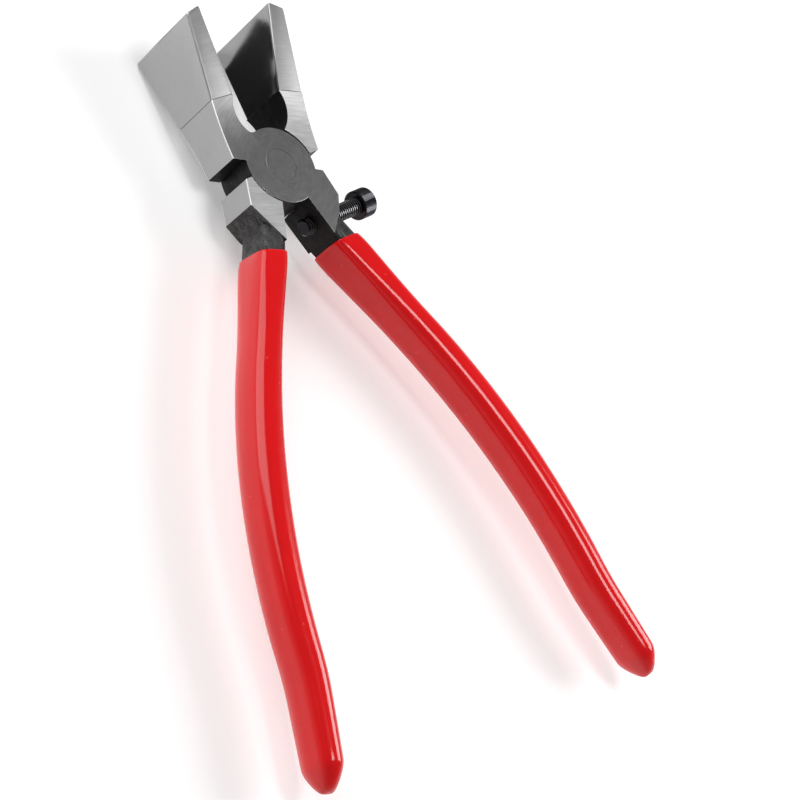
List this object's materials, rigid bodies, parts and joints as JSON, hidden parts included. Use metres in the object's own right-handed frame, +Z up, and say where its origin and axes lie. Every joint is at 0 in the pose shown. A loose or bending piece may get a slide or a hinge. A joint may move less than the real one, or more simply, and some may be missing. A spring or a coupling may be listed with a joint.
{
  "type": "glass and tile running pliers",
  "caption": "Lap-jointed running pliers with wide flared flat jaws, a stop screw through one lever and dipped grips, for snapping scored glass or tile.",
  "frame": {"origin": "on the pivot's axis, in the plane of the rear ground cheek", "axes": "+Z up the pivot's axis out of the front cheek, +Y to the jaws along the line midway between the levers at rest, +X towards the front lever's handle and the stop screw's head"},
  "size_m": [0.1246, 0.2082, 0.028],
  "materials": {
    "ground_forged_steel": "ground cheeks, scaled black shanks",
    "satin_jaw_steel": "belt-ground satin",
    "rivet_steel": "peened and ground flush",
    "black_oxide_steel": "black oxide, oiled",
    "dipped_vinyl": "glossy dip coating"
  },
  "bodies": {
    "front_half": {"front_lever": "ground_forged_steel", "front_jaw_plate": "satin_jaw_steel", "front_grip": "dipped_vinyl", "pivot_rivet": "rivet_steel"},
    "rear_half": {"rear_lever": "ground_forged_steel", "rear_jaw_plate": "satin_jaw_steel", "rear_grip": "dipped_vinyl"},
    "stop_screw": {"stop_screw": "black_oxide_steel"}
  },
  "joints": [
    {"name": "pivot", "type": "hinge", "parent": "front_half", "child": "rear_half", "pos_m": [0, 0, 0.0065], "axis": [0, 0, -1], "range_deg": [-29, 24]},
    {"name": "stop_screw_travel", "type": "slide", "parent": "front_half", "child": "stop_screw", "axis": [-0.979, -0.2036, 0], "range_m": [-0.0044, 0.0017]}
  ]
}
